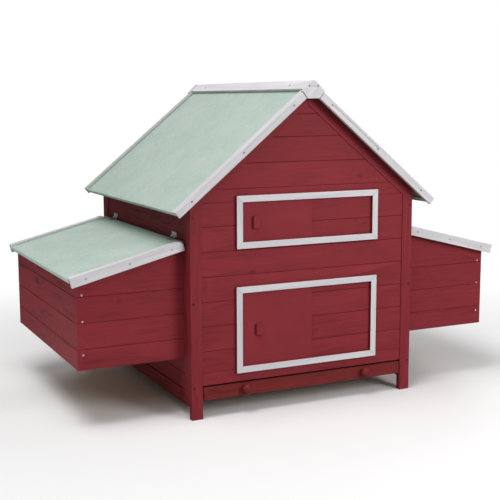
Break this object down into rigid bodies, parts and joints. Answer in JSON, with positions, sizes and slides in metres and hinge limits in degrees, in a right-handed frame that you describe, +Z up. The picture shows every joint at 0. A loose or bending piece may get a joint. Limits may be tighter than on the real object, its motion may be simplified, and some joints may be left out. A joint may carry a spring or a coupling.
{
  "type": "chicken coop",
  "caption": "Small wooden hen house with a pitched felt roof, a nest box under a hinged lid on each side, sliding front doors and a pull-out droppings tray.",
  "frame": {"origin": "on the ground, in the middle of the hen house's footprint", "axes": "+X to the right as seen from the front, +Y to the back, so the doors face -Y, +Z up"},
  "size_m": [1.5704, 0.9568, 1.066],
  "materials": {
    "red_paint": "satin barn-red paint on fir",
    "white_paint": "satin white paint on fir",
    "roofing_felt": "pale green mineral-chip bitumen felt",
    "bare_fir": "planed, unpainted",
    "plywood": "exterior plywood, unpainted",
    "red_painted_steel": "painted over in the wall colour",
    "zinc_plated_steel": "bright zinc plate, slightly dulled"
  },
  "bodies": {
    "house": {"apex_plates": "white_paint", "back_barges": "white_paint", "back_left_post": "red_paint", "back_left_rafter": "red_paint", "back_rails": "red_paint", "back_right_post": "red_paint", "back_right_rafter": "red_paint", "back_wall_planks": "red_paint", "front_door_jambs": "red_paint", "front_left_barge": "white_paint", "front_left_post": "red_paint", "front_left_rafter": "red_paint", "front_rails": "red_paint", "front_right_barge": "white_paint", "front_right_post": "red_paint", "front_right_rafter": "red_paint", "front_wall_planks": "red_paint", "hinge_pins": "zinc_plated_steel", "hinge_wall_leaves": "zinc_plated_steel", "left_nest_planks": "red_paint", "left_ridge_cap": "white_paint", "left_roof_board": "plywood", "left_roof_felt": "roofing_felt", "left_side_frame": "red_paint", "left_side_planks": "red_paint", "lower_door_frame": "white_paint", "nest_box_screws": "zinc_plated_steel", "nest_corner_posts": "bare_fir", "nest_dividers": "bare_fir", "nest_floors": "bare_fir", "perch_cleats": "bare_fir", "perches": "bare_fir", "post_screws": "red_painted_steel", "ridge_beam": "bare_fir", "right_nest_planks": "red_paint", "right_ridge_cap": "white_paint", "right_roof_board": "plywood", "right_roof_felt": "roofing_felt", "right_side_frame": "red_paint", "right_side_planks": "red_paint", "roof_screws": "zinc_plated_steel", "tray_runners": "red_paint", "upper_door_frame": "white_paint"},
    "upper_door": {"upper_door_panel": "red_paint", "upper_door_handle": "red_paint"},
    "lower_door": {"lower_door_panel": "red_paint", "lower_door_handle": "red_paint"},
    "tray": {"tray_boards": "red_paint", "tray_bottom": "bare_fir", "tray_knobs": "red_paint"},
    "left_lid": {"left_lid_board": "plywood", "left_lid_felt": "roofing_felt", "left_lid_trims": "white_paint", "left_hinge_lid_leaves": "zinc_plated_steel", "left_lid_screws": "zinc_plated_steel"},
    "right_lid": {"right_lid_board": "plywood", "right_lid_felt": "roofing_felt", "right_lid_trims": "white_paint", "right_hinge_lid_leaves": "zinc_plated_steel", "right_lid_screws": "zinc_plated_steel"}
  },
  "joints": [
    {"name": "upper_door_slide", "type": "slide", "parent": "house", "child": "upper_door", "axis": [1, 0, 0], "range_m": [0, 0.239]},
    {"name": "lower_door_slide", "type": "slide", "parent": "house", "child": "lower_door", "axis": [1, 0, 0], "range_m": [0, 0.236]},
    {"name": "tray_slide", "type": "slide", "parent": "house", "child": "tray", "axis": [0, -1, 0], "range_m": [0, 0.7]},
    {"name": "left_lid_hinge", "type": "hinge", "parent": "house", "child": "left_lid", "pos_m": [-0.4111, 0, 0.57266], "axis": [0, 1, 0], "range_deg": [0, 70]},
    {"name": "right_lid_hinge", "type": "hinge", "parent": "house", "child": "right_lid", "pos_m": [0.4111, 0, 0.57266], "axis": [0, -1, 0], "range_deg": [0, 70]}
  ]
}
